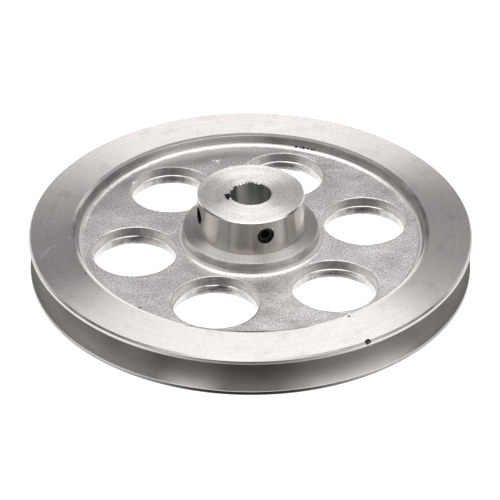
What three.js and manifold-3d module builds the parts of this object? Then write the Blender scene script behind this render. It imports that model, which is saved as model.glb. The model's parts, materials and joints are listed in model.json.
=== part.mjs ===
// Single-groove V belt pulley: one aluminium casting and the two set screws in its hub.
// Millimetres, +Z up. The origin is on the bore axis, level with the bottom faces of rim and hub.
// The keyway and the set screw over it lie along -X, and the other set screw along -Y.
import * as THREE from "three";
import { mergeVertices } from "three/addons/utils/BufferGeometryUtils.js";
import Module from "manifold-3d";

// Rim and V groove
const RIM_R = 101.6;
const RIM_WIDTH = 19.3;
const RIM_FACE_INNER_R = 81.6;
const RIM_INNER_BEVEL = 0.8;
const RIM_INNER_DRAFT = 1.4;
const RIM_FILLET = 2.8;
const RIM_EDGE = 0.4;
const GROOVE_OPENING = 14.5;
const GROOVE_DEPTH = 13.4;
const GROOVE_ANGLE = THREE.MathUtils.degToRad(38);

// Web, how deep it lies behind the rim's two faces, and its lightening holes.
// The holes are cast, and so not quite square to the keyway, which is cut afterwards.
const FRONT_RECESS = 5.3;
const BACK_RECESS = 4.65;
const HOLE_COUNT = 6;
const HOLE_CIRCLE_R = 54.3;
const HOLE_R = 19.5;
const HOLE_WAIST_R = 19.2;
const HOLE_EDGE = 0.4;
const HOLE_PHASE = THREE.MathUtils.degToRad(-2.65);

// Hub, the cast collar round its foot, the smaller boss behind, bore and keyway
const HUB_R = 24.6;
const HUB_LENGTH = 37.5;
const HUB_EDGE = 0.5;
const COLLAR_R = 31.2;
const COLLAR_RISE = 0.7;
const BACK_BOSS_R = 26;
const CAST_EDGE = 0.9;
const CAST_DRAFT = 0.3;
const CAST_FILLET = 2;
const BORE_R = 9.525;
const BORE_EDGE = 0.5;
const KEYWAY_WIDTH = 4.7625;
const KEYWAY_DEPTH = 2.4;

// Set screws: 5/16 inch, 18 threads to the inch, with a 5/32 inch hexagon socket
const THREAD_PITCH = 25.4 / 18;
const TAPPED_HOLE_R = 3.97;
const SCREW_R = 3.62;
const SCREW_HEIGHT = 29.9;
const SCREW_END_CHAMFER = 0.5;
const CUP_R = 2.1;
const CUP_DEPTH = 0.9;
const SOCKET_FLATS = 3.97;
const SOCKET_DEPTH = 4.2;
const FRONT_SCREW = { length: 9.525, turnsToSeat: 3, seatR: BORE_R };
const KEY_SCREW = { length: 7.9375, turnsToSeat: 2, seatR: BORE_R + KEYWAY_DEPTH };

// Faceting, and how far a cutter runs past the faces that it cuts
const TURNED_SEGMENTS = 64;
const HOLE_SEGMENTS = 36;
const SCREW_SEGMENTS = 24;
const FILLET_STEPS = 3;
const OVERCUT = 2;

const WEB_BOTTOM = BACK_RECESS;
const WEB_TOP = RIM_WIDTH - FRONT_RECESS;
const WEB_MIDDLE = (WEB_BOTTOM + WEB_TOP) / 2;
const FULL_TURN = Math.PI * 2;

const wasm = await Module();
wasm.setup();

// A profile point: distance from the axis, and height along it.
function at(radius, height) {
  return new THREE.Vector2(radius, height);
}

// Points of a quarter-round fillet from one tangent point to the other, about its centre.
function fillet(centre, radius, fromAngle, toAngle) {
  return Array.from({ length: FILLET_STEPS + 1 }, (_, i) => {
    const angle = THREE.MathUtils.lerp(fromAngle, toAngle, i / FILLET_STEPS);
    return at(centre.x + radius * Math.cos(angle), centre.y + radius * Math.sin(angle));
  });
}

// The same profile upside down about the middle of the rim, in reverse order.
function mirrored(points) {
  return points.map((p) => at(p.x, RIM_WIDTH - p.y)).reverse();
}

// A solid of revolution about +Z from a profile that closes on itself or ends on the axis.
function turned(profile, segments) {
  const geometry = new THREE.LatheGeometry(profile, segments);
  return geometry.rotateX(Math.PI / 2);
}

function solid(geometry) {
  const bare = geometry.clone();
  bare.deleteAttribute("normal");
  bare.deleteAttribute("uv");
  const merged = mergeVertices(bare, 1e-4);
  return new wasm.Manifold(
    new wasm.Mesh({
      numProp: 3,
      vertProperties: merged.attributes.position.array,
      triVerts: new Uint32Array(merged.index.array),
    }),
  );
}

function geometryOf(manifold) {
  const { vertProperties, triVerts } = manifold.getMesh();
  const geometry = new THREE.BufferGeometry();
  geometry.setAttribute("position", new THREE.BufferAttribute(vertProperties, 3));
  geometry.setIndex(new THREE.BufferAttribute(triVerts, 1));
  geometry.computeVertexNormals();
  return geometry;
}

function cut(geometry, cutters) {
  return geometryOf(cutters.reduce((left, cutter) => left.subtract(solid(cutter)), solid(geometry)));
}

// Rim inner wall and its fillet, from the rim's top face down to a web that lies recess below it.
function rimInnerWall(recess) {
  const wallR = RIM_FACE_INNER_R - RIM_INNER_BEVEL;
  const centre = at(wallR - RIM_INNER_DRAFT - RIM_FILLET, RIM_WIDTH - recess + RIM_FILLET);
  return [
    at(RIM_FACE_INNER_R, RIM_WIDTH),
    at(wallR, RIM_WIDTH - RIM_INNER_BEVEL),
    ...fillet(centre, RIM_FILLET, 0, -Math.PI / 2),
  ];
}

// Side of a round cast boss, from the fillet at its foot up to its face. The face is rise above the
// rim's top face, and the web recess below it.
function bossSide(radius, rise, recess) {
  const centre = at(radius + CAST_DRAFT + CAST_FILLET, RIM_WIDTH - recess + CAST_FILLET);
  return [
    ...fillet(centre, CAST_FILLET, -Math.PI / 2, -Math.PI),
    at(radius, RIM_WIDTH + rise - CAST_EDGE),
    at(radius - CAST_EDGE, RIM_WIDTH + rise),
  ];
}

// The rim's outside, from its bottom edge up round the V groove to its top edge.
function rimOutside() {
  const land = (RIM_WIDTH - GROOVE_OPENING) / 2;
  const flankRise = GROOVE_DEPTH * Math.tan(GROOVE_ANGLE / 2);
  const bottomHalf = [
    at(RIM_R - RIM_EDGE, 0),
    at(RIM_R, RIM_EDGE),
    at(RIM_R, land),
    at(RIM_R - GROOVE_DEPTH, land + flankRise),
  ];
  return [...bottomHalf, ...mirrored(bottomHalf)];
}

// The whole section of the casting, starting and ending at the bottom of the bore.
function castingProfile() {
  const boreBottom = at(BORE_R + BORE_EDGE, 0);
  return [
    boreBottom,
    ...mirrored(bossSide(BACK_BOSS_R, 0, BACK_RECESS)),
    ...mirrored(rimInnerWall(BACK_RECESS)),
    ...rimOutside(),
    ...rimInnerWall(FRONT_RECESS),
    ...bossSide(COLLAR_R, COLLAR_RISE, FRONT_RECESS),
    at(HUB_R, RIM_WIDTH + COLLAR_RISE),
    at(HUB_R, HUB_LENGTH - HUB_EDGE),
    at(HUB_R - HUB_EDGE, HUB_LENGTH),
    at(BORE_R + BORE_EDGE, HUB_LENGTH),
    at(BORE_R, HUB_LENGTH - BORE_EDGE),
    at(BORE_R, BORE_EDGE),
    boreBottom.clone(),
  ];
}

// What the cores left out of the web: holes that narrow a little to a waist half way through.
function lighteningHoleCutters() {
  const profile = [
    at(0, WEB_BOTTOM - OVERCUT),
    at(HOLE_R + HOLE_EDGE + OVERCUT, WEB_BOTTOM - OVERCUT),
    at(HOLE_R, WEB_BOTTOM + HOLE_EDGE),
    at(HOLE_WAIST_R, WEB_MIDDLE),
    at(HOLE_R, WEB_TOP - HOLE_EDGE),
    at(HOLE_R + HOLE_EDGE + OVERCUT, WEB_TOP + OVERCUT),
    at(0, WEB_TOP + OVERCUT),
  ];
  return Array.from({ length: HOLE_COUNT }, (_, i) => {
    const angle = HOLE_PHASE + (i / HOLE_COUNT) * FULL_TURN;
    const [x, y] = [HOLE_CIRCLE_R * Math.cos(angle), HOLE_CIRCLE_R * Math.sin(angle)];
    return turned(profile, HOLE_SEGMENTS).translate(x, y, 0);
  });
}

function keywayCutter() {
  const reach = BORE_R + KEYWAY_DEPTH;
  const height = HUB_LENGTH + OVERCUT * 2;
  return new THREE.BoxGeometry(reach, KEYWAY_WIDTH, height).translate(-reach / 2, 0, HUB_LENGTH / 2);
}

// Lays a piece that was turned about +Z along a screw's axis, its top end outwards.
function alongScrewAxis(geometry, heading) {
  return geometry.rotateY(Math.PI / 2).rotateZ(heading);
}

function tappedHoleCutter(heading) {
  const profile = [
    at(0, BORE_R - OVERCUT),
    at(TAPPED_HOLE_R, BORE_R - OVERCUT),
    at(TAPPED_HOLE_R, HUB_R + OVERCUT),
    at(0, HUB_R + OVERCUT),
  ];
  return alongScrewAxis(turned(profile, SCREW_SEGMENTS), heading).translate(0, 0, SCREW_HEIGHT);
}

function hexagonalSocket(screwLength) {
  const cornerR = SOCKET_FLATS / Math.sqrt(3);
  const corners = Array.from({ length: 6 }, (_, i) => {
    const angle = (i / 6) * FULL_TURN;
    return at(cornerR * Math.cos(angle), cornerR * Math.sin(angle));
  });
  const depth = SOCKET_DEPTH + OVERCUT;
  const socket = new THREE.ExtrudeGeometry(new THREE.Shape(corners), { depth, bevelEnabled: false });
  return socket.translate(0, 0, screwLength - SOCKET_DEPTH);
}

// A cup-point set screw standing on its point, with its socket at the top.
function setScrewGeometry(screwLength) {
  const profile = [
    at(0, CUP_DEPTH),
    at(CUP_R, 0),
    at(SCREW_R - SCREW_END_CHAMFER, 0),
    at(SCREW_R, SCREW_END_CHAMFER),
    at(SCREW_R, screwLength - SCREW_END_CHAMFER),
    at(SCREW_R - SCREW_END_CHAMFER, screwLength),
    at(0, screwLength),
  ];
  return cut(turned(profile, SCREW_SEGMENTS), [hexagonalSocket(screwLength)]);
}

function makeCasting() {
  const cutters = [
    ...lighteningHoleCutters(),
    keywayCutter(),
    tappedHoleCutter(Math.PI),
    tappedHoleCutter(-Math.PI / 2),
  ];
  const aluminium = new THREE.MeshStandardMaterial({ color: 0xc9c6c4, roughness: 0.4, metalness: 1 });
  const mesh = new THREE.Mesh(cut(turned(castingProfile(), TURNED_SEGMENTS), cutters), aluminium);
  mesh.name = "pulley_casting";
  return mesh;
}

// A set screw as it is stored, some whole turns short of where its point would seat.
function makeSetScrew(name, { length, turnsToSeat, seatR }, heading) {
  const pointR = seatR + turnsToSeat * THREAD_PITCH;
  const blackOxide = new THREE.MeshStandardMaterial({ color: 0x1c1a19, roughness: 0.5, metalness: 1 });
  const geometry = alongScrewAxis(setScrewGeometry(length).translate(0, 0, pointR), heading);
  const mesh = new THREE.Mesh(geometry, blackOxide);
  mesh.position.z = SCREW_HEIGHT;
  mesh.name = name;
  return mesh;
}

const pulley = new THREE.Group();
pulley.add(
  makeCasting(),
  makeSetScrew("front_set_screw", FRONT_SCREW, -Math.PI / 2),
  makeSetScrew("key_set_screw", KEY_SCREW, Math.PI),
);

export default pulley;
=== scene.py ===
"""Looks of the single-groove V belt pulley: a finely modelled casting and two threaded set screws."""

import json
import math
import random

import bmesh
import bpy
import numpy as np
from mathutils import Matrix, Vector, noise


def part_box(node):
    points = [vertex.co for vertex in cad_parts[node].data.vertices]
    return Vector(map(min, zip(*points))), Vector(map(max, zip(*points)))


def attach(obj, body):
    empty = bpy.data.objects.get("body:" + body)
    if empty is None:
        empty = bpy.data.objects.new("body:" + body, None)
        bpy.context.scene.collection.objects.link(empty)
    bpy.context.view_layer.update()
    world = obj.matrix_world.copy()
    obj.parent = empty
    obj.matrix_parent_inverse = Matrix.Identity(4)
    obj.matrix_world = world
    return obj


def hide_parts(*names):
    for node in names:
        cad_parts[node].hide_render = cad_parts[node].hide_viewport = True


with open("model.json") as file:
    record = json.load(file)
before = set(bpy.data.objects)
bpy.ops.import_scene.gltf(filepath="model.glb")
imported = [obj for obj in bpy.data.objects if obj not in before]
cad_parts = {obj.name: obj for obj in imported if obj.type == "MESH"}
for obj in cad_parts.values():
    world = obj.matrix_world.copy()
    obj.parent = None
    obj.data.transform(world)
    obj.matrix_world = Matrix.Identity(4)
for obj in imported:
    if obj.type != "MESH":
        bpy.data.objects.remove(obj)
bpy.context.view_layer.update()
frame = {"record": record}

MM = 0.001
TAU = 2 * math.pi


def opening_centre(name):
    """Middle of one of the record's openings, in millimetres."""
    openings = frame["record"]["physics"]["openings"]
    low, high = next(o["box_m"] for o in openings if o["name"] == name)
    return (Vector(low) + Vector(high)) / 2 / MM


# From the frame, in millimetres
CASTING_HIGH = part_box("pulley_casting")[1] / MM
RIM_R = CASTING_HIGH.x
HUB_TOP = CASTING_HIGH.z
FIRST_HOLE = opening_centre("lightening_hole_1_wide").xy
SCREW_NODES = {"front_set_screw": -math.pi / 2, "key_set_screw": math.pi}
SCREW_HEIGHT = sum(corner.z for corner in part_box("front_set_screw")) / 2 / MM

# The casting's section, in millimetres: the CAD part's sizes, with finer edges and fillets
RIM_WIDTH = 19.3
RIM_FACE_INNER_R = 81.6
RIM_INNER_BEVEL = 1.6
RIM_INNER_DRAFT = 0.35
RIM_FILLET = 3.0
RIM_INNER_ROUND = 0.25
RIM_INNER_EDGE_DROP = 0.45
RIM_INNER_EDGE_TILT = 15
RIM_EDGE = 0.8
GROOVE_OPENING = 14.5
GROOVE_DEPTH = 13.4
GROOVE_ANGLE = math.radians(38)
GROOVE_MOUTH_ROUND = 0.25
GROOVE_FLOOR_ROUND = 1.2
FRONT_RECESS = 5.3
BACK_RECESS = 4.65
HUB_R = 24.6
HUB_EDGE = 0.5
COLLAR_R = 31.2
COLLAR_RISE = 0.7
BACK_BOSS_R = 26.0
CAST_EDGE = 0.8
CAST_DRAFT = 0.3
CAST_FILLET = 2.5
SHOULDER_FILLET = 0.2
BORE_R = 9.525
BORE_EDGE = 0.45
KEYWAY_WIDTH = 4.7625
KEYWAY_DEPTH = 2.4
KEYWAY_CORNER = 0.25

RIM_MIDDLE = RIM_WIDTH / 2
WEB_TOP = RIM_WIDTH - FRONT_RECESS
WEB_BOTTOM = BACK_RECESS
WEB_MIDDLE = (WEB_TOP + WEB_BOTTOM) / 2
COLLAR_TOP = RIM_WIDTH + COLLAR_RISE

# Lightening holes, and the flash line half way down them. Its height is FLASH_HEIGHT times
# FLASH_MEAN, give or take FLASH_SWING, and it leans more the higher it is
HOLE_COUNT = 6
HOLE_CIRCLE_R = FIRST_HOLE.length
HOLE_PHASE = math.atan2(FIRST_HOLE.y, FIRST_HOLE.x)
HOLE_R = 19.5
HOLE_WAIST_R = 19.25
HOLE_EDGE = 0.4
FLASH_HEIGHT = 0.3
FLASH_HALF_WIDTH = 0.24
FLASH_MEAN = 0.8
FLASH_SWING = 0.4
FLASH_LEAN = 0.5
FLASH_SCALE = 3
FLASH_SHIFT = 7.3

# How far the two mould halves were out, and how deep in a hole that shows in full
MOULD_MISMATCH = np.array([-0.12, -0.2])
MISMATCH_DEPTH = 1.5

# Waves in the surfaces left as cast, as (length, height), and how far below a turned face they are full
CAST_WAVES = ((9, 0.09), (3.2, 0.06))
CAST_FADE = 1.6

# Set screws and tapped holes, 5/16 inch and 18 threads to the inch
THREAD_PITCH = 25.4 / 18
THREAD_CREST_R = 3.9
THREAD_ROOT_R = 3.17
THREAD_CLEARANCE = 0.07
THREAD_FLAT = 0.12
COUNTERSINK = 0.9
SOCKET_FLATS = 3.97
SOCKET_DEPTH = 4.2
SOCKET_LEAD = 0.15
SOCKET_LEAD_SLOPE = 0.6
SOCKET_POINT = 0.6
SCREW_CHAMFER = 0.75
CUP_R = 2.1
CUP_DEPTH = 0.9
CUP_LIP = 0.15
CUP_LIP_DROP = 0.05
TIP_R = 0.02

# How far the cutters run past the casting, and into its bore
OVERRUN = 1.0
BORE_OVERRUN = 1.5

# How finely the meshes are divided
SEGMENTS = 360
SECTOR_SEGMENTS = SEGMENTS // HOLE_COUNT
SECTOR_EDGE_STEPS = 26
WEB_ROWS = 14
THREAD_SEGMENTS = 48
THREAD_ANGLES = np.linspace(0, TAU, THREAD_SEGMENTS, endpoint=False)
STEPS_PER_PITCH = 8
SMOOTH_BELOW = math.radians(38)
MERGE_WITHIN = 0.0005

# The part of the web that holds the holes, just clear of the collar's fillet and the rim's
WEB_CLEAR = 0.1
WEB_INNER_R = COLLAR_R + CAST_DRAFT + CAST_FILLET + WEB_CLEAR
WEB_OUTER_R = RIM_FACE_INNER_R - RIM_INNER_BEVEL - RIM_INNER_DRAFT - RIM_FILLET - WEB_CLEAR

# A face is level if its normal's z is over LEVEL. The rest are how far its middle may lie from its
# surface: on it, in the lip of a hole, near it, or past the edge beside it
LEVEL = 0.55
ON = 0.01
HOLE_LIP = 0.1
NEAR = 0.3
PAST = 1.0


# -------------------- mesh helpers

def add_object(name, data):
    """A new object in the scene with this mesh, camera or light."""
    obj = bpy.data.objects.new(name, data)
    bpy.context.scene.collection.objects.link(obj)
    return obj


def make_object(name, vertices, faces):
    """A mesh object from points in millimetres, its doubled vertices merged and its faces turned out."""
    mesh = bpy.data.meshes.new(name)
    mesh.from_pydata((np.asarray(vertices) * MM).tolist(), [], faces)
    shape = bmesh.new()
    shape.from_mesh(mesh)
    bmesh.ops.remove_doubles(shape, verts=shape.verts, dist=MERGE_WITHIN * MM)
    bmesh.ops.recalc_face_normals(shape, faces=shape.faces)
    shape.to_mesh(mesh)
    shape.free()
    return add_object(name, mesh)


class Surface:
    """Grids of points gathered up to become one mesh."""

    def __init__(self):
        self.vertices = []
        self.faces = []

    def add_grid(self, points):
        """Adds points[row, column] as quads, joined round from the last column to the first."""
        first = len(self.vertices)
        index = first + np.arange(points[..., 0].size).reshape(points.shape[:2])
        after = np.roll(index, -1, axis=1)
        quads = np.stack([index[:-1], after[:-1], after[1:], index[1:]], axis=-1)
        self.faces += quads.reshape(-1, 4).tolist()
        self.vertices += points.reshape(-1, 3).tolist()

    def add_cap(self, ring):
        """Closes a ring of points with one flat face."""
        first = len(self.vertices)
        self.vertices += np.asarray(ring).tolist()
        self.faces.append(tuple(range(first, first + len(ring))))

    def build(self, name):
        return make_object(name, self.vertices, self.faces)


def closed_tube(name, rows):
    """A mesh of rows of points round an axis, closed with a flat face at each end."""
    surface = Surface()
    surface.add_grid(rows)
    surface.add_cap(rows[0])
    surface.add_cap(rows[-1])
    return surface.build(name)


def arc(centre, radius, start, end, steps):
    """Points (r, z) on a circle about centre, from angle start to end in degrees."""
    angles = np.radians(np.linspace(start, end, steps + 1))
    return [(centre[0] + radius * math.cos(a), centre[1] + radius * math.sin(a)) for a in angles]


def between(start, end, steps):
    """Points on the line from start to just before end, so that long faces aren't slivers."""
    return [tuple(p) for p in np.linspace(start, end, steps + 1)[:-1]]


def mirrored(points):
    """The same points upside down about the middle of the rim, in reverse order."""
    return [(r, RIM_WIDTH - z) for r, z in reversed(points)]


def turned(profile):
    """points[row, column] of a profile of (r, z) turned about the bore axis."""
    angles = HOLE_PHASE - math.pi / HOLE_COUNT + np.linspace(0, TAU, SEGMENTS, endpoint=False)
    r, z = np.array(profile).T
    x = np.outer(r, np.cos(angles))
    y = np.outer(r, np.sin(angles))
    return np.stack([x, y, np.repeat(z[:, None], SEGMENTS, axis=1)], axis=2)


def smooth_step(value):
    value = np.clip(value, 0, 1)
    return value * value * (3 - 2 * value)


def shade(obj):
    """Smooth shading, with edges that turn by more than SMOOTH_BELOW kept crisp."""
    obj.data.polygons.foreach_set("use_smooth", [True] * len(obj.data.polygons))
    obj.data.set_sharp_from_angle(angle=SMOOTH_BELOW)
    return obj


def crisp_borders(mesh, chosen):
    """Marks every edge between a chosen face and one that isn't as sharp."""
    sides = np.empty(len(mesh.polygons), int)
    mesh.polygons.foreach_get("loop_total", sides)
    edges = np.empty(len(mesh.loops), int)
    mesh.loops.foreach_get("edge_index", edges)
    count = np.bincount(edges, weights=np.repeat(chosen, sides), minlength=len(mesh.edges))
    for i in np.nonzero(count == 1)[0]:
        mesh.edges[i].use_edge_sharp = True


def combine(obj, cutter, operation, finish):
    """Cuts or joins cutter to obj, whose new faces get that finish, and removes cutter."""
    cutter.data.materials.append(bpy.data.materials[finish])
    modifier = obj.modifiers.new("combine", "BOOLEAN")
    modifier.operation = operation
    modifier.solver = "MANIFOLD"
    modifier.material_mode = "TRANSFER"
    modifier.object = cutter
    depsgraph = bpy.context.evaluated_depsgraph_get()
    mesh = bpy.data.meshes.new_from_object(obj.evaluated_get(depsgraph))
    obj.modifiers.clear()
    obj.data = mesh
    bpy.data.objects.remove(cutter)


# -------------------- casting

def boss_side(radius, rise, recess):
    """From the edge of a round cast boss's face down its side to the web.

    The face is rise above the rim's top face, and the web recess below it.
    """
    face = RIM_WIDTH + rise
    fillet_centre = (radius + CAST_DRAFT + CAST_FILLET, RIM_WIDTH - recess + CAST_FILLET)
    edge_centre = (radius - CAST_EDGE, face - CAST_EDGE)
    return arc(edge_centre, CAST_EDGE, 90, 0, 5) + arc(fillet_centre, CAST_FILLET, 180, 270, 8)


def rim_inner_wall(recess):
    """From a web that lies recess below the rim's face up the rim's inner wall to that face."""
    wall_r = RIM_FACE_INNER_R - RIM_INNER_BEVEL
    fillet_centre = (wall_r - RIM_INNER_DRAFT - RIM_FILLET, RIM_WIDTH - recess + RIM_FILLET)
    tilt = math.radians(RIM_INNER_EDGE_TILT)
    round_top = RIM_WIDTH - RIM_INNER_EDGE_DROP
    round_centre = (wall_r + RIM_INNER_ROUND, round_top - RIM_INNER_ROUND * math.cos(tilt))
    edge = arc(round_centre, RIM_INNER_ROUND, 180, 90 + RIM_INNER_EDGE_TILT, 4)
    edge_end = (edge[-1][0] + RIM_INNER_EDGE_DROP / math.tan(tilt), RIM_WIDTH)
    return arc(fillet_centre, RIM_FILLET, 270, 360, 10) + edge + [edge_end]


def rim_outside():
    """From the rim's top face round its outer edge and into the groove, to the groove's middle."""
    land = (RIM_WIDTH - GROOVE_OPENING) / 2
    flank = GROOVE_ANGLE / 2
    floor_r = RIM_R - GROOVE_DEPTH
    mouth_centre = (RIM_R - GROOVE_MOUTH_ROUND, RIM_WIDTH - land + GROOVE_MOUTH_ROUND)
    flank_end = math.degrees(flank) - 90
    floor_z = RIM_WIDTH - land - GROOVE_DEPTH * math.tan(flank)
    corner_reach = GROOVE_FLOOR_ROUND * math.tan((math.pi / 2 - flank) / 2)
    corner_centre = (floor_r + GROOVE_FLOOR_ROUND, floor_z - corner_reach)
    return (
        [(RIM_R - RIM_EDGE, RIM_WIDTH), (RIM_R, RIM_WIDTH - RIM_EDGE)]
        + arc(mouth_centre, GROOVE_MOUTH_ROUND, 0, flank_end, 3)
        + arc(corner_centre, GROOVE_FLOOR_ROUND, 90 + math.degrees(flank), 180, 4)
    )


def hub_profile():
    """From the web's inner edge at its bottom, round the hub and bore, to the same edge at its top."""
    shoulder_centre = (HUB_R + SHOULDER_FILLET, COLLAR_TOP + SHOULDER_FILLET)
    mouth, shoulder = (BORE_R + BORE_EDGE, HUB_TOP), (HUB_R - HUB_EDGE, HUB_TOP)
    top = (
        between(mouth, shoulder, 4)
        + [shoulder, (HUB_R, HUB_TOP - HUB_EDGE)]
        + arc(shoulder_centre, SHOULDER_FILLET, 180, 270, 3)
        + boss_side(COLLAR_R, COLLAR_RISE, FRONT_RECESS)
        + [(WEB_INNER_R, WEB_TOP)]
    )
    boss = mirrored(boss_side(BACK_BOSS_R, 0, BACK_RECESS))
    underside = [(WEB_INNER_R, WEB_BOTTOM)] + boss + between(boss[-1], (BORE_R + BORE_EDGE, 0), 4)[1:]
    bore = between((BORE_R, BORE_EDGE), (BORE_R, HUB_TOP - BORE_EDGE), 6)
    return underside + [(BORE_R + BORE_EDGE, 0)] + bore + [(BORE_R, HUB_TOP - BORE_EDGE)] + top


def rim_profile():
    """From the web's outer edge at its top, round the rim, to the same edge at its bottom."""
    face = between((RIM_FACE_INNER_R, RIM_WIDTH), (RIM_R - RIM_EDGE, RIM_WIDTH), 5)[1:]
    top_half = rim_inner_wall(FRONT_RECESS) + face + rim_outside()
    bottom_half = mirrored(rim_inner_wall(BACK_RECESS) + face + rim_outside())
    return [(WEB_OUTER_R, WEB_TOP)] + top_half + bottom_half + [(WEB_OUTER_R, WEB_BOTTOM)]


def sector_outline(angle):
    """Points round one sector of the web, the same number as round its hole."""
    half = math.pi / HOLE_COUNT
    out = np.linspace(-half, half, SECTOR_SEGMENTS + 1)
    radii = np.linspace(WEB_OUTER_R, WEB_INNER_R, SECTOR_EDGE_STEPS + 1)
    outline = (
        [(WEB_OUTER_R, a) for a in out[:-1]]
        + [(r, half) for r in radii[:-1]]
        + [(WEB_INNER_R, -a) for a in out[:-1]]
        + [(r, -half) for r in radii[::-1][:-1]]
    )
    return np.array([(r * math.cos(angle + a), r * math.sin(angle + a)) for r, a in outline])


def half_wall(height):
    """(radius, height) down one half of a hole, from its rounded edge at height to its flash."""
    side = math.copysign(1, height - WEB_MIDDLE)
    centre = (HOLE_R + HOLE_EDGE, height - side * HOLE_EDGE)
    edge = [(r, centre[1] + side * (z - centre[1])) for r, z in arc(centre, HOLE_EDGE, 90, 180, 4)]
    start, end = centre[1], WEB_MIDDLE + side * FLASH_HALF_WIDTH
    share = np.linspace(0, 1, 5)[1:]
    return edge + list(zip(HOLE_R + (HOLE_WAIST_R - HOLE_R) * share, start + (end - start) * share))


def add_hole_wall(surface, index, centre, direction):
    """The wall of one hole: two mould halves that meet a little out of line, with flash between."""
    halves = []
    for height, moved_in in ((WEB_TOP, 0.0), (WEB_BOTTOM, 1.0)):
        rows = []
        for radius, z in half_wall(height):
            moved = smooth_step(abs(z - height) / MISMATCH_DEPTH) * moved_in
            around = centre + direction * radius + MOULD_MISMATCH * moved
            rows.append(np.c_[around, np.full(len(around), z)])
        halves.append(rows)
    upper, lower = halves
    heights = np.array([flash_ridge(index, d) for d in direction]) * FLASH_HEIGHT
    crest = upper[-1].copy()
    crest[:, :2] -= direction * heights[:, None]
    crest[:, 2] = WEB_MIDDLE - FLASH_LEAN * FLASH_HALF_WIDTH * (heights / FLASH_HEIGHT - FLASH_MEAN)
    surface.add_grid(np.array(upper + [crest] + lower[::-1]))


def add_sector(surface, index):
    """The web's top and bottom round one lightening hole, and the hole's wall."""
    angle = HOLE_PHASE + index * TAU / HOLE_COUNT
    centre = HOLE_CIRCLE_R * np.array([math.cos(angle), math.sin(angle)])
    outline = sector_outline(angle)
    direction = outline - centre
    direction /= np.linalg.norm(direction, axis=1)[:, None]
    mouth = centre + direction * (HOLE_R + HOLE_EDGE)
    shares = np.linspace(0, 1, WEB_ROWS + 1)[:, None, None]
    flat = outline + (mouth - outline) * shares
    for height in (WEB_TOP, WEB_BOTTOM):
        level = np.full(flat.shape[:2] + (1,), height)
        surface.add_grid(np.concatenate([flat, level], axis=2))
    add_hole_wall(surface, index, centre, direction)


def flash_ridge(hole, direction):
    """How much of its full height the flash has in that direction from a hole's centre."""
    x, y = direction * FLASH_SCALE
    return FLASH_MEAN + FLASH_SWING * noise.noise(Vector((x, y, hole * FLASH_SHIFT)))


def casting_blank():
    surface = Surface()
    surface.add_grid(turned(hub_profile()))
    surface.add_grid(turned(rim_profile()))
    for index in range(HOLE_COUNT):
        add_sector(surface, index)
    return surface.build("pulley_casting_finished")


def cast_share(points):
    """How far each point is on a surface left as cast: 0 on turned faces, 1 well away from them."""
    r = np.hypot(points[:, 0], points[:, 1])
    z = points[:, 2]
    top = np.where(r < WEB_INNER_R, COLLAR_TOP, RIM_WIDTH)
    depth = np.minimum(top - z, z)
    inside = (r > HUB_R + PAST) & (r < RIM_FACE_INNER_R) & (z < COLLAR_TOP)
    return np.where(inside, smooth_step(depth / CAST_FADE), 0)


def roughen_cast_faces(obj):
    """Moves the cast faces in and out a little, as the mould and the cooling metal left them."""
    mesh = obj.data
    count = len(mesh.vertices)
    flat = np.empty(count * 3)
    mesh.vertices.foreach_get("co", flat)
    points = flat.reshape(-1, 3) / MM
    normals = np.array([v.normal[:] for v in mesh.vertices])
    share = cast_share(points)
    moved = np.zeros(count)
    for i in np.nonzero(share)[0]:
        p = Vector(points[i])
        moved[i] = sum(height * noise.noise(p / length) for length, height in CAST_WAVES)
    points += normals * (moved * share)[:, None]
    mesh.vertices.foreach_set("co", (points * MM).ravel())
    mesh.update()


def keyway_cutter():
    """A square slot along the bore towards -X, its corners a little rounded by the broach."""
    floor_r = BORE_R + KEYWAY_DEPTH
    half = KEYWAY_WIDTH / 2
    near_x, near_y = floor_r - KEYWAY_CORNER, half - KEYWAY_CORNER
    section = (
        [(0, -half)]
        + [(-x, y) for x, y in arc((near_x, -near_y), KEYWAY_CORNER, -90, 0, 3)]
        + [(-x, y) for x, y in arc((near_x, near_y), KEYWAY_CORNER, 0, 90, 3)]
        + [(0, half)]
    )
    ends = [np.array([(x, y, z) for x, y in section]) for z in (-OVERRUN, HUB_TOP + OVERRUN)]
    return closed_tube("keyway_cutter", np.array(ends))


def thread_depth(angle, along):
    """0 at a thread's root and 1 at its crest, at an angle and a distance along a right-hand thread."""
    turn = (along / THREAD_PITCH - angle / TAU) % 1.0
    return np.clip((abs(2 * turn - 1) - THREAD_FLAT) / (1 - 2 * THREAD_FLAT), 0, 1)


def ring_at(radius, height):
    """One row of points about +Z: radius is a number, or one for each direction."""
    radius = np.broadcast_to(radius, THREAD_ANGLES.shape)
    x, y = radius * np.cos(THREAD_ANGLES), radius * np.sin(THREAD_ANGLES)
    return np.c_[x, y, np.full(THREAD_SEGMENTS, height)]


def threaded_rows(start, end, clearance, limit=None):
    """points[row, column] of a thread about +Z between two heights, held inside limit(height)."""
    step = THREAD_PITCH / STEPS_PER_PITCH
    inner = np.arange(math.floor(start / step) + 1, math.ceil(end / step)) * step
    rows = []
    for z in np.concatenate([[start], inner, [end]]):
        depth = thread_depth(THREAD_ANGLES, z)
        radius = THREAD_ROOT_R + (THREAD_CREST_R - THREAD_ROOT_R) * depth + clearance
        if limit:
            radius = np.minimum(radius, limit(z))
        rows.append(ring_at(radius, z))
    return np.array(rows)


def lay_along(points, heading):
    """Points about +Z laid so that +Z points outwards from the bore axis at that heading."""
    turn = Matrix.Rotation(heading, 3, "Z") @ Matrix.Rotation(math.pi / 2, 3, "Y")
    return points @ np.array(turn).T + np.array([0, 0, SCREW_HEIGHT])


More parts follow.
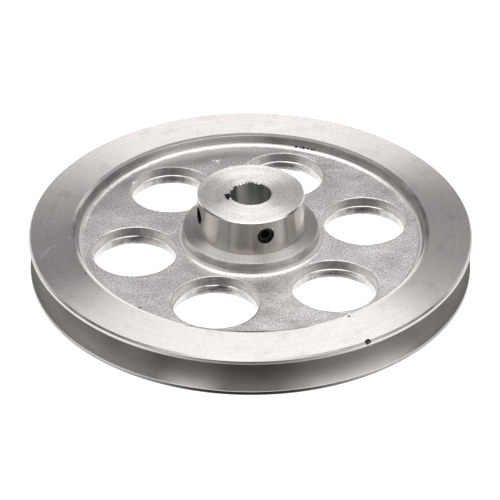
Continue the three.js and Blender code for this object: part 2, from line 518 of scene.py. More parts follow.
def tapped_hole_cutter(heading):
    """The space inside a tapped hole, with a small countersink where it leaves the hub."""
    rows = threaded_rows(BORE_R - BORE_OVERRUN, HUB_R + OVERRUN, THREAD_CLEARANCE)
    for row in rows:
        sink = THREAD_ROOT_R + THREAD_CLEARANCE + max(0, row[0, 2] - (HUB_R - COUNTERSINK))
        radius = np.hypot(row[:, 0], row[:, 1])
        row[:, :2] *= (np.maximum(radius, sink) / radius)[:, None]
    return closed_tube("tapped_hole_cutter", lay_along(rows, heading))


# -------------------- marks on the casting

# A place is (angle in degrees, distance from the bore axis, height). Pits have a radius after it
PITS = (
    (283.6, 101.2, RIM_WIDTH - 0.2, 1.45),
    (285.3, 81.8, RIM_WIDTH, 0.6),
    (213.1, 74.6, WEB_TOP, 0.6),
    (57.4, 79.0, RIM_WIDTH - 4.1, 0.65),
    (55.8, 79.0, RIM_WIDTH - 4.2, 0.6),
    (54.7, 79.0, RIM_WIDTH - 4.1, 0.75),
    (53.1, 79.0, RIM_WIDTH - 4.1, 0.6),
    (51.6, 79.0, RIM_WIDTH - 4.2, 0.5),
    (50.7, 79.0, RIM_WIDTH - 4.2, 0.5),
    (187.7, 91.9, RIM_WIDTH, 0.3),
    (191.1, 82.7, RIM_WIDTH, 0.4),
    (116.7, 96.0, 0.0, 0.6),
    (229.7, 86.5, 0.0, 0.45),
    (18.7, 27.5, 0.0, 0.5),
    (148.7, 36.5, WEB_BOTTOM, 0.7),
    (260.7, 74.0, WEB_BOTTOM, 0.6),
)
# Burrs that stand proud of the web, the rim, the hub round its tapped hole, and the bore's edge
BURRS = (
    (88.0, 66.5, WEB_TOP, 0.8),
    (89.2, 67.5, WEB_TOP, 0.5),
    (86.6, 67.0, WEB_TOP, 0.5),
    (87.5, 65.4, WEB_TOP, 0.45),
    (124.9, 71.7, WEB_TOP, 0.6),
    (266.7, 70.5, WEB_BOTTOM, 0.5),
    (170.4, 83.2, RIM_WIDTH, 0.25),
    (339.3, 83.2, RIM_WIDTH, 0.3),
    (265.7, HUB_R - 0.15, SCREW_HEIGHT + 4.2, 0.38),
    (277.3, HUB_R - 0.1, SCREW_HEIGHT + 3.3, 0.33),
    (270.2, HUB_R - 0.1, SCREW_HEIGHT - 4.4, 0.35),
    (273.0, HUB_R - 0.1, SCREW_HEIGHT - 4.5, 0.25),
    (50.0, BORE_R - 0.2, HUB_TOP - 0.6, 0.65),
    (60.0, BORE_R - 0.1, HUB_TOP - 0.5, 0.5),
    (84.0, BORE_R - 0.1, HUB_TOP - 0.5, 0.5),
    (93.0, BORE_R - 0.2, HUB_TOP - 0.6, 0.7),
    (103.0, BORE_R - 0.1, HUB_TOP - 0.6, 0.7),
    (114.0, BORE_R - 0.1, HUB_TOP - 0.5, 0.6),
    (138.0, BORE_R - 0.1, HUB_TOP - 0.5, 0.45),
    (186.0, BORE_R + 0.4, HUB_TOP - 0.5, 0.45),
)
# Scratches across the rim's face, from one place to another
SCRATCHES = (
    ((179.4, 97.9, RIM_WIDTH), (175.2, 93.1, RIM_WIDTH)),
    ((175.2, 93.1, RIM_WIDTH), (173.7, 89.5, RIM_WIDTH)),
)
SCRATCH_WIDTH = 0.9

# Patches, as a place and its reach: a painted highlight on the rim's inner wall, and painted sheen in
# the groove
WALL_HIGHLIGHT_PATCH = (92.0, 79.0, RIM_WIDTH - 2, 36.0)
GROOVE_SHEEN_PATCHES = (
    (238.7, 96.0, RIM_MIDDLE, 17.0),
    (281.0, 96.0, RIM_MIDDLE, 36.0),
)
# Where a tool was drawn off the hub's side and left a swirl, and between which radii that fades
SWIRL = (206.8, HUB_R, 31.2)
SWIRL_REACH = (2.5, 4.0)
# Where the web has painted shade, for the dark rim wall that it reflects: it fades between these
# distances from this place, and starts between these from the bore axis
WEB_SHADE_PLACE = (95.0, 76.0, WEB_TOP)
WEB_SHADE_REACH = (25.0, 55.0)
WEB_SHADE_FROM_R = (67.0, 72.0)

# Directions, as angles: the side where the rim's inner edge gets painted shade, the way that the ends of
# the core walls with painted light face, and the oily side and the side with a painted highlight of the
# bore
FAR_SHADE_SIDE = 73.7
HOLE_LIT_ENDS = -16.3
BORE_OILY_SIDE = 74
BORE_HIGHLIGHT_SIDE = 100
# Between these two x the hub's side changes from oily to a near white painted highlight
HUB_HIGHLIGHT_X = (20, 24)

# How uneven pits and burrs are, and how closely their bumps follow each other
LUMP_SWING = 0.3
LUMP_SCALE = 1.4
MARKS_SEED = 11


def polar(angle, r, z):
    """The point at an angle in degrees, a distance from the bore axis and a height."""
    return Vector((r * math.cos(math.radians(angle)), r * math.sin(math.radians(angle)), z))


def blob(name, places, flatness, draw):
    """Small uneven lumps at places, as one object of separate closed shells."""
    shape = bmesh.new()
    for angle, r, z, size in places:
        lump = bmesh.ops.create_icosphere(shape, subdivisions=2, radius=size)["verts"]
        offset = Vector((draw.uniform(0, 9), draw.uniform(0, 9), draw.uniform(0, 9)))
        centre = polar(angle, r, z)
        stretch = Vector((draw.uniform(0.8, 1.3), draw.uniform(0.8, 1.2), flatness))
        for v in lump:
            uneven = 1 + LUMP_SWING * noise.noise(v.co / size * LUMP_SCALE + offset)
            v.co = (centre + v.co * stretch * uneven) * MM
    mesh = bpy.data.meshes.new(name)
    shape.to_mesh(mesh)
    shape.free()
    return add_object(name, mesh)


def make_casting():
    """The whole casting: its blank, its rough cast faces, and then all that is cut or left on it."""
    obj = casting_blank()
    roughen_cast_faces(obj)
    finish_casting(obj)
    draw = random.Random(MARKS_SEED)
    combine(obj, keyway_cutter(), "DIFFERENCE", "bored")
    for heading in SCREW_NODES.values():
        combine(obj, tapped_hole_cutter(heading), "DIFFERENCE", "tapped")
    combine(obj, blob("pits", PITS, 1.0, draw), "DIFFERENCE", "pitted")
    combine(obj, blob("burrs", BURRS, 0.6, draw), "UNION", "flash")
    shade(obj)
    names = [material.name for material in obj.data.materials]
    flat = [names[face.material_index] in FLAT_FINISHES for face in obj.data.polygons]
    crisp_borders(obj.data, flat)
    return obj


# -------------------- set screws

def hexagon_radius():
    """Distance from the centre of the socket to its flats, in each direction."""
    off_flat = (THREAD_ANGLES + math.pi / 6) % (math.pi / 3) - math.pi / 6
    return SOCKET_FLATS / 2 / np.cos(off_flat)


def cup_rows(point):
    """The hollow cup and its lip, at the end of a screw that starts at point."""
    bottom = ring_at(TIP_R, point + CUP_DEPTH)
    return [bottom, ring_at(CUP_R, point + CUP_LIP_DROP), ring_at(CUP_R + CUP_LIP, point)]


def socket_rows(end):
    """The hexagon socket, with its round lead-in, in the end of a screw."""
    hexagon = hexagon_radius()
    mouth = SOCKET_FLATS / math.sqrt(3) + SOCKET_LEAD
    lead = ring_at(hexagon, end)
    lead[:, 2] -= np.clip(mouth - hexagon, 0, None) * SOCKET_LEAD_SLOPE
    bottom = end - SOCKET_DEPTH
    return [ring_at(mouth, end), lead, ring_at(hexagon, bottom), ring_at(TIP_R, bottom - SOCKET_POINT)]


def make_screw(node, heading):
    """A cup-point set screw: cup, thread, chamfered end and hexagon socket."""
    low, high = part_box(node)
    along = (np.array([math.cos(heading), math.sin(heading), 0]) @ np.array([low, high]).T) / MM
    point, end = sorted(along)

    def limit(height):
        from_end = min(height - point, end - height)
        return THREAD_CREST_R - max(0, SCREW_CHAMFER - from_end)

    body = threaded_rows(point, end, 0, limit)
    rows = np.array(cup_rows(point) + list(body) + socket_rows(end))
    obj = closed_tube(node + "_threaded", lay_along(rows, heading))
    obj.data.materials.append(black_oxide_material())
    return shade(obj)


# -------------------- materials

class Tree:
    """A node tree, with short ways to add and link nodes."""

    def __init__(self, node_tree):
        self.tree = node_tree

    def add(self, kind, inputs=None, **settings):
        node = self.tree.nodes.new(kind)
        for key, value in settings.items():
            setattr(node, key, value)
        for key, value in (inputs or {}).items():
            self.put(value, node.inputs[key])
        return node

    def put(self, value, socket):
        """Links an output to a socket, or sets the socket to a number or colour."""
        if isinstance(value, bpy.types.NodeSocket):
            self.tree.links.new(value, socket)
        else:
            socket.default_value = value

    def blend(self, share, a, b):
        """The number that is a where share is 0 and b where it is 1."""
        return self.add("ShaderNodeMix", {0: share, 2: a, 3: b}).outputs[0]

    def math(self, operation, a, b=0.0):
        return self.add("ShaderNodeMath", {0: a, 1: b}, operation=operation).outputs[0]

    def plus(self, a, b):
        return self.math("ADD", a, b)

    def times(self, a, b):
        return self.math("MULTIPLY", a, b)

    def weighted(self, *terms):
        """The sum of some values, each times its weight."""
        total, *rest = [self.times(*term) for term in terms]
        for part in rest:
            total = self.plus(total, part)
        return total

    def vector_math(self, operation, inputs):
        return self.add("ShaderNodeVectorMath", inputs, operation=operation).outputs

    def dot(self, a, b):
        return self.vector_math("DOT_PRODUCT", {0: a, 1: b})["Value"]

    def spread(self, value, low, high, to_low=0.0, to_high=1.0):
        """value from low to high mapped to to_low to to_high, held at the ends."""
        names = ("Value", "From Min", "From Max", "To Min", "To Max")
        inputs = dict(zip(names, (value, low, high, to_low, to_high)))
        return self.add("ShaderNodeMapRange", inputs, clamp=True).outputs[0]

    def rise(self, length, low, high):
        """0 up to low and 1 from high, both in millimetres."""
        return self.spread(length, low * MM, high * MM)

    def fade(self, length, low, high):
        """1 up to low and 0 from high, both in millimetres."""
        return self.spread(length, low * MM, high * MM, 1.0, 0.0)


class Nodes(Tree):
    """The node tree of a material for a metal."""

    def __init__(self, name):
        self.material = bpy.data.materials.new(name)
        self.material.use_nodes = True
        super().__init__(self.material.node_tree)
        self.shader = self.tree.nodes["Principled BSDF"]
        self.place = self.add("ShaderNodeTexCoord").outputs["Object"]

    def noise(self, scale, detail, vector=None, roughness=0.5):
        inputs = {"Vector": vector or self.place, "Scale": scale}
        inputs.update({"Detail": detail, "Roughness": roughness})
        return self.add("ShaderNodeTexNoise", inputs).outputs["Fac"]

    def stretched(self, x, y, z):
        """The place with its axes scaled, to draw a texture out along one of them."""
        return self.add("ShaderNodeMapping", {"Vector": self.place, "Scale": (x, y, z)}).outputs[0]

    def mix(self, share, a, b):
        node = self.add("ShaderNodeMix", data_type="RGBA")
        for socket, value in zip((node.inputs[0], node.inputs[6], node.inputs[7]), (share, a, b)):
            self.put(value, socket)
        return node.outputs[2]

    def place_part(self, axis):
        """One coordinate of the place, 0 for x, 1 for y and 2 for z."""
        return self.add("ShaderNodeSeparateXYZ", {0: self.place}).outputs[axis]

    def radius(self):
        """Distance from the bore axis."""
        squares = [self.times(part, part) for part in map(self.place_part, (0, 1))]
        return self.math("SQRT", self.plus(*squares))

    def height(self):
        return self.place_part(2)

    def facing(self, way):
        """1 where the surface faces along way or against it, and 0 where it faces across it."""
        normal = self.add("ShaderNodeNewGeometry").outputs["Normal"]
        return self.math("ABSOLUTE", self.dot(normal, way))

    def distance(self, point):
        """How far the place is from a point given in millimetres."""
        return self.vector_math("DISTANCE", {0: self.place, 1: point * MM})["Value"]

    def patch(self, angle, r, z, reach):
        """1 inside the middle of a round patch, falling to 0 where it ends."""
        return self.fade(self.distance(polar(angle, r, z)), 0.5 * reach, reach)

    def near_line(self, start, end, width):
        """1 on the line between two points in metres, falling to 0 at width in millimetres from it."""
        line = end - start
        heading = line.normalized()
        offset = self.vector_math("SUBTRACT", {0: self.place, 1: start})[0]
        reach = self.math("MINIMUM", self.math("MAXIMUM", self.dot(offset, heading), 0.0), line.length)
        foot = self.vector_math("SCALE", {0: heading, 3: reach})[0]
        gap = self.vector_math("DISTANCE", {0: offset, 1: foot})["Value"]
        return self.fade(gap, 0.3 * width, width)

    def along(self, value):
        """A texture place that changes only with value, for rings and lines."""
        return self.add("ShaderNodeCombineXYZ", {0: value}).outputs[0]

    def brush_round_axis(self, strength=1.0):
        """Spreads the light across tool marks that run round the bore axis."""
        self.shader.inputs["Anisotropic"].default_value = strength
        self.shader.inputs["Anisotropic Rotation"].default_value = 0.25
        tangent = self.add("ShaderNodeTangent", direction_type="RADIAL", axis="Z").outputs[0]
        self.put(tangent, self.shader.inputs["Tangent"])

    def finish(self, color, roughness, relief, strength, distance, metallic=1.0):
        """The finished material, whose relief stands out by distance in millimetres at strength 1."""
        inputs = {"Height": relief, "Strength": strength, "Distance": distance * MM}
        normal = self.add("ShaderNodeBump", inputs).outputs[0]
        for key, value in (("Base Color", color), ("Roughness", roughness), ("Normal", normal)):
            self.put(value, self.shader.inputs[key])
        self.shader.inputs["Metallic"].default_value = metallic
        return self.material


def warm(brightness):
    """A grey of that brightness, a little warmer than neutral."""
    return (brightness * (1 + WARMTH), brightness, brightness * (1 - WARMTH), 1)


# How far a warm grey's red and blue are from its green, and the colours that aren't such a grey
WARMTH = 0.02
HUB_OIL = (0.59, 0.545, 0.49, 1)
HUB_OIL_DARK = (0.46, 0.455, 0.44, 1)
GROOVE_PALE = (0.58, 0.565, 0.545, 1)
GROOVE_DARK = (0.46, 0.455, 0.435, 1)
GROOVE_LIP = (0.25, 0.248, 0.235, 1)
BORE_DARK = (0.52, 0.525, 0.50, 1)
BORE_PALE = (0.90, 0.90, 0.87, 1)
BORE_OIL = (0.34, 0.345, 0.33, 1)
CAST_DARK = (0.42, 0.405, 0.40, 1)
CAST_PALE = (0.98, 0.965, 0.96, 1)
OXIDE = (0.008, 0.007, 0.007, 1)
OXIDE_WORN = (0.04, 0.035, 0.03, 1)


def turned_face(name, brightness, speckle, stain, rough, brushed=1.0):
    """Faces cut by a tool moving outwards: fine rings, and light that fans out across them."""
    n = Nodes(name)
    radius = n.radius()
    rings = n.plus(n.noise(2600, 1.0, n.along(radius)), n.noise(500, 2.0, n.along(radius)))
    blots = n.noise(130, 3.0)
    marks = n.plus(n.times(rings, 0.5), n.noise(1100, 3.0))
    clean = n.mix(n.spread(marks, 0.8, 1.2), warm(brightness - speckle), warm(brightness + speckle))
    stained = n.mix(n.spread(blots, 0.55, 0.8, 0, stain), clean, warm(0.45))
    ends = [[polar(*place) * MM for place in scratch] for scratch in SCRATCHES]
    scratched = n.math("MAXIMUM", *[n.near_line(*pair, SCRATCH_WIDTH) for pair in ends])
    color = n.mix(scratched, stained, warm(0.98))
    cloudy = n.plus(n.noise(40, 4.0), blots)
    roughness = n.spread(cloudy, 0.7, 1.3, rough - 0.03, rough + 0.05)
    n.brush_round_axis(brushed)
    relief = n.math("SUBTRACT", rings, n.times(scratched, 9.0))
    return n.finish(color, roughness, relief, 0.12, 0.02)


def turned_face_material():
    return turned_face("turned_face", 0.84, 0.07, 0.35, 0.36)


def collar_face_material():
    return turned_face("collar_face", 0.64, 0.10, 0.3, 0.40)


def hub_face_material():
    return turned_face("hub_face", 0.81, 0.12, 0.55, 0.56, brushed=0.88)


def turned_side_material():
    """Cylinders cut by a tool moving along the axis, in bands that are duller or oily, with a painted
    highlight on one side.
    """
    n = Nodes("turned_side")
    rings = n.noise(3800, 1.0, n.along(n.height()))
    bands = n.noise(95, 2.0, n.stretched(1, 1, 0.3))
    smears = n.noise(420, 4.0, n.stretched(1, 1, 0.5))
    from_swirl = n.distance(polar(*SWIRL))
    swirl = n.noise(1300, 2.0, n.along(from_swirl))
    in_swirl = n.fade(from_swirl, *SWIRL_REACH)
    tone = n.weighted((bands, 0.75), (smears, 0.25))
    tone = n.plus(tone, n.times(n.math("SUBTRACT", swirl, 0.5), in_swirl))
    oily = n.mix(n.spread(tone, 0.3, 0.7), HUB_OIL, HUB_OIL_DARK)
    smeared_x = n.plus(n.place_part(0), n.times(smears, 4 * MM))
    # painted highlight: near white on the side towards +x
    color = n.mix(n.rise(smeared_x, *HUB_HIGHLIGHT_X), oily, warm(0.95))
    marks = n.plus(n.times(rings, 0.1), n.times(swirl, in_swirl))
    roughness = n.spread(bands, 0.35, 0.65, 0.16, 0.24)
    n.brush_round_axis()
    return n.finish(color, roughness, marks, 0.4, 0.07)


def groove_material():
    """The belt groove's flanks and floor, turned and a little dull, darker near the lips, with patches
    of painted sheen.
    """
    n = Nodes("turned_groove")
    radius = n.radius()
    rings = n.noise(1800, 2.0, n.along(radius))
    clouds = n.noise(55, 3.0)
    clean = n.mix(n.spread(clouds, 0.35, 0.7), GROOVE_PALE, GROOVE_DARK)
    near_lip = n.rise(radius, RIM_R - 8, RIM_R - 1)
    # painted sheen: brighter patches in the groove towards the front
    painted_sheen = n.math("MAXIMUM", *[n.patch(*patch) for patch in GROOVE_SHEEN_PATCHES])
    color = n.mix(painted_sheen, n.mix(near_lip, clean, GROOVE_LIP), warm(0.65))
    roughness = n.spread(n.plus(rings, clouds), 0.7, 1.3, 0.44, 0.54)
    return n.finish(color, roughness, rings, 0.4, 0.05)


def bored_material():
    """The bore and keyway, drawn out in streaks along the axis, with a film of cutting oil and a painted
    highlight down one side.
    """
    n = Nodes("bored")
    streaks = n.noise(420, 3.0, n.stretched(1, 1, 0.12))
    grain = n.noise(1300, 3.0)
    tone = n.weighted((streaks, 0.6), (grain, 0.4))
    streaky = n.mix(n.spread(tone, 0.35, 0.65), BORE_DARK, BORE_PALE)
    towards_oil = n.dot(n.place, polar(BORE_OILY_SIDE, 1, 0))
    # painted highlight: a near white band down the bore on one side, made rougher as well
    towards_highlight = n.dot(n.place, polar(BORE_HIGHLIGHT_SIDE, 1, 0))
    is_oily = n.fade(towards_oil, 0, 0.7 * BORE_R)
    painted_band_highlight = n.rise(towards_highlight, 0.92 * BORE_R, BORE_R)
    color = n.mix(painted_band_highlight, n.mix(is_oily, streaky, BORE_OIL), warm(0.93))
    band_roughening = n.times(painted_band_highlight, 0.35)
    roughness = n.plus(n.spread(streaks, 0.3, 0.7, 0.30, 0.44), band_roughening)
    return n.finish(color, roughness, n.plus(streaks, grain), 0.25, 0.05)


def painted_web_shade(n, clouds):
    """How much painted shade the web gets near one place at the back and near the rim, for the dark wall
    that it reflects.
    """
    uneven_radius = n.plus(n.radius(), n.times(clouds, 6 * MM))
    near_place = n.fade(n.distance(polar(*WEB_SHADE_PLACE)), *WEB_SHADE_REACH)
    return n.times(n.rise(uneven_radius, *WEB_SHADE_FROM_R), near_place)


def cast_grain(n):
    """(colour, relief, roughness) of metal as the mould left it: a sparkling grain and faint clouds,
    with painted shade near the rim at the back.
    """
    grain = n.noise(1000, 5.0, roughness=0.8)
    flecks = n.noise(1900, 1.0)
    cells = n.add("ShaderNodeTexVoronoi", {"Vector": n.place, "Scale": 1000.0}).outputs["Distance"]
    clouds = n.noise(60, 3.0)
    tone = n.weighted((grain, 0.8), (clouds, 0.2))
    grainy = n.mix(n.spread(tone, 0.41, 0.59), CAST_DARK, CAST_PALE)
    # painted shade: darker near the rim at the back, for the dark wall that the web reflects
    color = n.mix(n.times(painted_web_shade(n, clouds), 0.7), grainy, warm(0.38))
    relief = n.plus(n.plus(grain, flecks), n.times(cells, 0.6))
    return color, relief, n.spread(grain, 0.35, 0.65, 0.38, 0.28)


def cast_material():
    n = Nodes("cast")
    color, relief, roughness = cast_grain(n)
    return n.finish(color, roughness, relief, 0.48, 0.12)


def wall_marks(n):
    """(tone, relief, roughness) of a smooth wall, with faint lines round the axis."""
    lines = n.noise(1500, 3.0, n.stretched(0.08, 0.08, 1))
    grain = n.noise(900, 3.0)
    clouds = n.noise(110, 2.0)
    tone = n.weighted((lines, 0.35), (grain, 0.2), (clouds, 0.45))
    relief = n.times(n.plus(lines, grain), 0.06)
    return tone, relief, n.spread(clouds, 0.35, 0.65, 0.38, 0.44)


def cast_foot(n, level, from_middle):
    """How far a wall has run out, unevenly, into the cast grain at its foot."""
    uneven = n.plus(level, n.spread(n.noise(260, 3.0), 0.3, 0.7, -0.05, 0.05))
    return n.times(n.spread(uneven, 0.86, 0.985), n.fade(from_middle, 5.8, 6.8))


def turned_wall(name, brightness, bright_from, bright_to, bright_reach=20.0):
    """A smooth wall whose fillet has a painted highlight, and which runs out into the cast grain at its
    foot.

    It has that brightness where it stands, up to where its normal's z is bright_from, and is painted
    all bright where that is bright_to, but only within bright_reach of the rim's middle height.
    """
    n = Nodes(name)
    tone, wall_relief, wall_roughness = wall_marks(n)
    cast_color, cast_relief, cast_roughness = cast_grain(n)
    level = n.facing(Vector((0, 0, 1)))
    from_middle = n.math("ABSOLUTE", n.math("SUBTRACT", n.height(), RIM_MIDDLE * MM))
    upright = n.mix(n.spread(tone, 0.38, 0.62), warm(brightness * 0.75), warm(brightness * 1.25))
    # painted highlight: a pale patch on the rim's inner wall at the back
    painted_wall_highlight = n.mix(n.times(n.patch(*WALL_HIGHLIGHT_PATCH), 0.7), upright, warm(0.88))
    in_reach = n.fade(from_middle, bright_reach, bright_reach + 0.8)
    # painted highlight: paler where the fillet faces up, for the light that it catches
    bright = n.times(n.spread(level, bright_from, bright_to), in_reach)
    as_cast = cast_foot(n, level, from_middle)
    color = n.mix(as_cast, n.mix(bright, painted_wall_highlight, warm(0.82)), cast_color)
    grit = n.times(cast_relief, n.spread(as_cast, 0, 1, 0.04, 1.0))
    roughness = n.blend(as_cast, wall_roughness, cast_roughness)
    return n.finish(color, roughness, n.plus(wall_relief, grit), 0.42, 0.12)


def collar_side_material():
    return turned_wall("collar_side", 0.62, 0.15, 0.6)


def rim_wall_material():
    return turned_wall("rim_wall", 0.35, 0.6, 0.8, bright_reach=7.6)


def smooth_land(name, brightness, far_shade_brightness=None, rough=0.13):
    """Narrow bands and edges, turned smooth, with painted shade low down and, if given so, on the far
    side.
    """
    n = Nodes(name)
    lines = n.noise(2400, 2.0, n.stretched(0.05, 0.05, 1))
    clouds = n.noise(140, 2.0)
    clean = n.mix(clouds, warm(brightness - 0.06), warm(brightness + 0.06))
    # painted shade: the edge darker on the far side, if a far brightness is given
    if far_shade_brightness:
        painted_far_shade = n.rise(n.dot(n.place, polar(FAR_SHADE_SIDE, 1, 0)), 10, 40)
        clean = n.mix(painted_far_shade, clean, warm(far_shade_brightness))
    # painted shade: darker low down, for the table's shadow that the lower land reflects
    color = n.mix(n.rise(n.height(), 1, 3), warm(0.34), clean)
    roughness = n.spread(clouds, 0.35, 0.65, rough, rough + 0.06)
    return n.finish(color, roughness, lines, 0.2, 0.04)


def land_material():
    return smooth_land("land", 0.84)


def outer_edge_material():
    return smooth_land("outer_edge", 0.7, rough=0.26)


def inner_edge_material():
    return smooth_land("inner_edge", 0.93, 0.2)


def core_wall_material():
    """The walls of the lightening holes: dull above the flash line, and dragged smooth below it, with
    painted light at their ends.
    """
    n = Nodes("core_wall")
    above = n.rise(n.height(), WEB_MIDDLE - 0.1, WEB_MIDDLE + 0.1)
    smudges = n.noise(330, 3.0, n.stretched(1, 1, 0.35))
    lines = n.noise(900, 3.0, n.stretched(0.12, 0.12, 1))
    grit = n.noise(1100, 3.0)
    tone = n.spread(n.weighted((smudges, 0.5), (lines, 0.5)), 0.38, 0.62)
    upper = n.mix(tone, warm(0.52), warm(0.74))
    lower = n.mix(tone, warm(0.45), warm(0.86))
    specks = n.times(n.spread(grit, 0.5, 0.62), 0.35)
    gritty = n.mix(specks, n.mix(above, lower, upper), warm(0.2))
    # painted light: the ends that face one way made near white, more below the flash line, for light
    # bounced up from the floor
    painted_light_at_end = n.spread(n.facing(polar(HOLE_LIT_ENDS, 1, 0)), 0.55, 0.95)
    painted_light_share = n.times(painted_light_at_end, n.spread(above, 0, 1, 1.0, 0.35))
    color = n.mix(painted_light_share, gritty, warm(0.98))
    relief = n.plus(n.plus(n.times(smudges, 0.6), lines), grit)
    return n.finish(color, n.spread(above, 0, 1, 0.22, 0.46), relief, 0.4, 0.1)


def flash_material():
    """The bright broken line of flash where the two halves of a core met."""
    n = Nodes("flash")
    bits = n.noise(900, 3.0)
    color = n.mix(n.spread(bits, 0.35, 0.6), warm(0.82), warm(0.98))
    return n.finish(color, n.spread(bits, 0.3, 0.7, 0.25, 0.4), bits, 0.3, 0.1)


def pitted_material():
    """The dark insides of pits."""
    n = Nodes("pitted")
    grain = n.noise(1600, 3.0)
    color = n.mix(n.spread(grain, 0.4, 0.7), warm(0.05), warm(0.22))
    return n.finish(color, n.spread(grain, 0.3, 0.7, 0.5, 0.7), grain, 0.6, 0.2)


def blackened(name, roughness):
    """Blackened steel or a black hole in it, a little oily and worn paler in places."""
    n = Nodes(name)
    clouds = n.noise(900, 4.0)
    color = n.mix(n.spread(clouds, 0.45, 0.75), OXIDE, OXIDE_WORN)
    return n.finish(color, roughness, clouds, 0.2, 0.05, metallic=0.4)


# The tapped holes' walls get the screws' near-black colour, with a weak specular reflection
def tapped_material():
    material = blackened("tapped", 0.8)
    material.node_tree.nodes["Principled BSDF"].inputs["Specular IOR Level"].default_value = 0.1
    return material


def black_oxide_material():
    return bpy.data.materials.get("black_oxide") or blackened("black_oxide", 0.4)


CASTING_MATERIALS = (
    turned_face_material,
    collar_face_material,
    hub_face_material,
    turned_side_material,
    groove_material,
    bored_material,
    tapped_material,
    collar_side_material,
    rim_wall_material,
    land_material,
    outer_edge_material,
    inner_edge_material,
    cast_material,
    core_wall_material,
    flash_material,
    pitted_material,
)

# Finishes of faces that were turned flat
FLAT_FINISHES = ("turned_face", "collar_face", "hub_face")


def hole_distance(x, y):
    """How far each place is from the axis of the nearest lightening hole."""
    step = TAU / HOLE_COUNT
    angles = HOLE_PHASE + np.round((np.arctan2(y, x) - HOLE_PHASE) / step) * step
    return np.hypot(x - HOLE_CIRCLE_R * np.cos(angles), y - HOLE_CIRCLE_R * np.sin(angles))


def surface_kinds(centres, normals):
    """The name of the finish of each face, from where it lies and which way it faces."""
    x, y, z = centres.T
    r = np.hypot(x, y)
    level = np.abs(normals[:, 2]) > LEVEL
    in_hole = hole_distance(x, y) < HOLE_R + HOLE_LIP
    in_groove = np.abs(z - RIM_MIDDLE) < GROOVE_OPENING / 2
    hub_top = (z > HUB_TOP - ON) | (z > HUB_TOP - PAST) & (r < HUB_R - PAST)
    rim_top = (np.abs(z - RIM_WIDTH) < ON) & (r > RIM_FACE_INNER_R + NEAR)
    near_hub_side = (r > HUB_R - HUB_EDGE) & (r < HUB_R + NEAR)
    at_inner_edge = (r < RIM_FACE_INNER_R + NEAR) & (r > WEB_OUTER_R)
    cases = {
        "bored": r < BORE_R + ON,
        "turned_groove": (r < RIM_R - GROOVE_MOUTH_ROUND) & (r > RIM_FACE_INNER_R + PAST) & in_groove,
        "hub_face": level & hub_top,
        "turned_face": level & ((z < NEAR) | rim_top),
        "outer_edge": (r > RIM_R - RIM_EDGE) & (z > RIM_WIDTH - RIM_EDGE),
        "inner_edge": (z > RIM_WIDTH - RIM_INNER_EDGE_DROP) & at_inner_edge,
        "land": (r > RIM_R - RIM_EDGE) | (z > HUB_TOP - HUB_EDGE) & (r > HUB_R - HUB_EDGE),
        "collar_face": level & (np.abs(z - COLLAR_TOP) < NEAR) & (r < COLLAR_R),
        "turned_side": near_hub_side & (z > COLLAR_TOP + ON),
        "flash": in_hole & (np.abs(z - WEB_MIDDLE) < FLASH_HALF_WIDTH),
        "core_wall": in_hole & ~level,
        "collar_side": r < WEB_INNER_R,
        "rim_wall": (r > WEB_OUTER_R) & (r < RIM_FACE_INNER_R + PAST),
    }
    return np.select(list(cases.values()), list(cases), "cast")


def finish_casting(obj):
    """Gives each face of the casting the material of the way it was made."""
    faces = obj.data.polygons
    centres = np.array([f.center[:] for f in faces]) / MM
    normals = np.array([f.normal[:] for f in faces])
    kinds = surface_kinds(centres, normals)
    for make in CASTING_MATERIALS:
        obj.data.materials.append(make())
    order = {material.name: i for i, material in enumerate(obj.data.materials)}
    faces.foreach_set("material_index", [order[kind] for kind in kinds])


# -------------------- studio

CAMERA_AZIMUTH = math.radians(-16.3)
CAMERA_ELEVATION = math.radians(33.87)
CAMERA_ROLL = math.radians(0.17)
CAMERA_DISTANCE = 1.0589
LENS = 166.07
SHIFT = (-0.00102, -0.04748)
FLOOR_SIZE = 12.0
FLOOR_GLOW = 0.95

# Brightness of the room as the metal sees it
BACK_WALL = 0.11
SIDE_WALL = 0.05
FLOOR_AT_BACK = 0.95
FLOOR_IN_FRONT = 0.05
STUDIO_TINT = (1.02, 0.985, 0.978)

# Ceiling lights: name, the elevations in front and behind that it reaches to, width, height, brightness
CEILING_LIGHTS = (
    ("ceiling", 47, 43, 3.0, 1.5, 0.85),
    ("ceiling_middle", 50, 51, 2.3, 1.4, 0.8),
)
# Lights low in front: name, azimuth, brightness
FRONT_LIGHTS = (
    ("front_left", -134, 0.75),
    ("front_right", 134, 0.95),
)
FRONT_LIGHT_ELEVATION = 12
FRONT_LIGHT_DISTANCE = 1.3
FRONT_LIGHT_SIZE = (0.95, 0.6)


def make_camera():
    """A long lens that looks at the middle of the rim's top face."""
    target = Vector((0, 0, RIM_WIDTH * MM))
    level = math.cos(CAMERA_ELEVATION)
    back = Vector((
        math.sin(CAMERA_AZIMUTH) * level,
        -math.cos(CAMERA_AZIMUTH) * level,
        math.sin(CAMERA_ELEVATION),
    ))
    data = bpy.data.cameras.new("camera")
    data.lens = LENS
    data.shift_x, data.shift_y = SHIFT
    camera = add_object("camera", data)
    turn = back.to_track_quat("Z", "Y").to_matrix().to_4x4() @ Matrix.Rotation(CAMERA_ROLL, 4, "Z")
    camera.matrix_world = Matrix.Translation(target + back * CAMERA_DISTANCE) @ turn
    bpy.context.scene.camera = camera


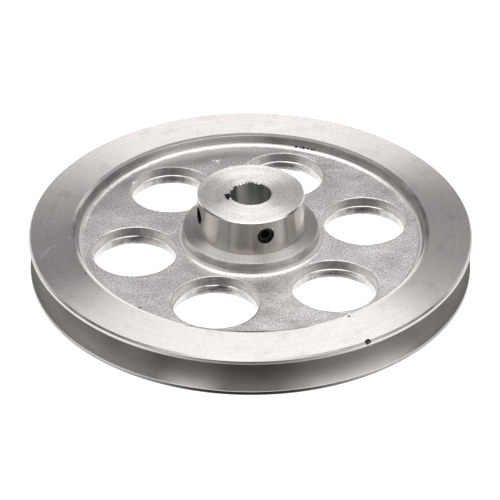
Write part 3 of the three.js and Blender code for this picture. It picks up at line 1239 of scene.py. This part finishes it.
def make_floor():
    mesh = bpy.data.meshes.new("floor")
    size = FLOOR_SIZE / 2
    corners = [(-size, -size, 0), (size, -size, 0), (size, size, 0), (-size, size, 0)]
    mesh.from_pydata(corners, [], [(0, 1, 2, 3)])
    floor = add_object("floor", mesh)
    n = Nodes("floor")
    n.shader.inputs["Base Color"].default_value = (0.5, 0.5, 0.5, 1)
    n.shader.inputs["Roughness"].default_value = 0.9
    n.shader.inputs["Emission Color"].default_value = (1, 1, 1, 1)
    n.shader.inputs["Emission Strength"].default_value = FLOOR_GLOW
    mesh.materials.append(n.material)
    floor.visible_glossy = False


def studio_direction(azimuth, elevation):
    """A unit vector from the pulley: azimuth 0 is away from the camera and 90 is to its right."""
    a, e = math.radians(azimuth) - CAMERA_AZIMUTH, math.radians(elevation)
    return Vector((math.sin(a) * math.cos(e), math.cos(a) * math.cos(e), math.sin(e)))


def add_panel(name, place, size, brightness):
    """A soft rectangular light at place, facing the pulley, as bright as brightness times white."""
    data = bpy.data.lights.new(name, "AREA")
    data.shape = "RECTANGLE"
    data.size, data.size_y = size
    data.energy = brightness * math.pi * size[0] * size[1]
    data.color = STUDIO_TINT
    light = add_object(name, data)
    light.location = place
    light.rotation_euler = place.to_track_quat("Z", "Y").to_euler()
    return light


def add_overhead(name, near, far, width, height, brightness):
    """A level ceiling light that reaches from elevation near in front to elevation far behind."""
    front = height / math.tan(math.radians(near))
    behind = height / math.tan(math.radians(far))
    away = studio_direction(0, 0)
    light = add_panel(name, Vector((0, 0, height)), (width, front + behind), brightness)
    light.location = away * (behind - front) / 2 + Vector((0, 0, height))
    light.rotation_euler = (0, 0, -CAMERA_AZIMUTH)


def make_room():
    """White to the camera. To the metal, a table that is pale at the back, with dim walls above it."""
    world = bpy.data.worlds.new("studio")
    bpy.context.scene.world = world
    world.use_nodes = True
    t = Tree(world.node_tree)
    direction = t.add("ShaderNodeTexCoord").outputs["Generated"]
    away = t.dot(direction, studio_direction(0, 0))
    up = t.dot(direction, Vector((0, 0, 1)))
    walls = t.spread(away, 0.0, 0.7, SIDE_WALL, BACK_WALL)
    table = t.spread(away, -0.8, -0.3, FLOOR_IN_FRONT, FLOOR_AT_BACK)
    is_wall = t.spread(up, 0.30, 0.42)
    brightness = t.blend(is_wall, table, walls)
    room = t.add("ShaderNodeBackground", {"Color": STUDIO_TINT + (1,), "Strength": brightness})
    white = t.add("ShaderNodeBackground", {"Color": (1, 1, 1, 1)})
    seen = t.add("ShaderNodeLightPath").outputs["Is Camera Ray"]
    choose = t.add("ShaderNodeMixShader", {0: seen, 1: room.outputs[0], 2: white.outputs[0]})
    t.put(choose.outputs[0], t.tree.nodes["World Output"].inputs["Surface"])


def make_studio():
    make_room()
    for light in CEILING_LIGHTS:
        add_overhead(*light)
    for name, azimuth, brightness in FRONT_LIGHTS:
        place = studio_direction(azimuth, FRONT_LIGHT_ELEVATION) * FRONT_LIGHT_DISTANCE
        add_panel(name, place, FRONT_LIGHT_SIZE, brightness)
    bpy.context.scene.view_settings.view_transform = "Standard"


# -------------------- assembly

make_camera()
make_floor()
make_studio()

casting = make_casting()
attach(casting, "pulley")
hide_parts("pulley_casting")

for node, heading in SCREW_NODES.items():
    screw = make_screw(node, heading)
    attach(screw, node.replace("set_screw", "screw"))
    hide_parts(node)
